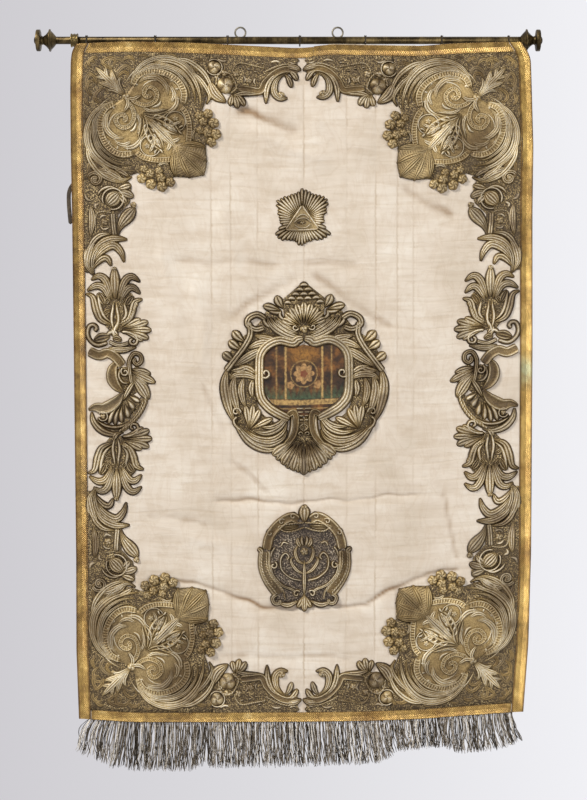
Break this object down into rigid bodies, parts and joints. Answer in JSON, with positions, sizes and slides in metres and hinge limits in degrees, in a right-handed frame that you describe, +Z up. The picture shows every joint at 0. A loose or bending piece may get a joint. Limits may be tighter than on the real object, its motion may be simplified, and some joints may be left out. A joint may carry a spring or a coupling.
{
  "type": "church banner on a rod",
  "caption": "Hanging processional church banner: cream silk with raised metal-thread appliques, gold galloon edge and bottom fringe, tied to a turned brass rod with finials and rings.",
  "frame": {"origin": "midway between the centres of the two rings that the rod hangs from, 1 mm below their height", "axes": "+X to the right across the banner seen from the front, +Y from the front to the back, +Z up"},
  "size_m": [1.1191, 0.0512, 1.6346],
  "materials": {
    "silk": "moire silk",
    "linen": "plain weave",
    "galloon": "woven gold thread",
    "goldwork": "raised metal-thread embroidery",
    "painted": "painted cloth",
    "wire": "twisted silver bullion",
    "brass": "aged brass",
    "iron": "dull wire",
    "thread": "dark linen thread"
  },
  "bodies": {
    "root": {"silk_ground": "silk", "heading_tape": "linen", "galloon_left": "galloon", "galloon_right": "galloon", "galloon_top_a": "galloon", "galloon_top_b": "galloon", "galloon_bottom": "galloon", "corner_top_left": "goldwork", "corner_top_right": "goldwork", "corner_bottom_left": "goldwork", "corner_bottom_right": "goldwork", "leaves_top_left": "goldwork", "leaves_top_right": "goldwork", "leaves_bottom_left": "goldwork", "leaves_bottom_right": "goldwork", "tulip_top_left": "goldwork", "tulip_top_right": "goldwork", "tulip_bottom_left": "goldwork", "tulip_bottom_right": "goldwork", "swag_top_left": "goldwork", "swag_top_right": "goldwork", "swag_bottom_left": "goldwork", "swag_bottom_right": "goldwork", "scroll_left": "goldwork", "scroll_right": "goldwork", "ray_medallion": "goldwork", "crown_medallion": "goldwork", "picture_panel": "painted", "lower_medallion": "goldwork", "fringe": "wire", "tape_loop": "thread", "rod": "brass", "finial_left": "brass", "finial_right": "brass", "rod_collar": "brass", "ring_left": "iron", "ring_right": "iron", "tie_1": "thread", "tie_2": "thread", "tie_3": "thread", "tie_4": "thread", "tie_5": "thread", "tie_6": "thread", "tie_7": "thread"}
  },
  "joints": []
}
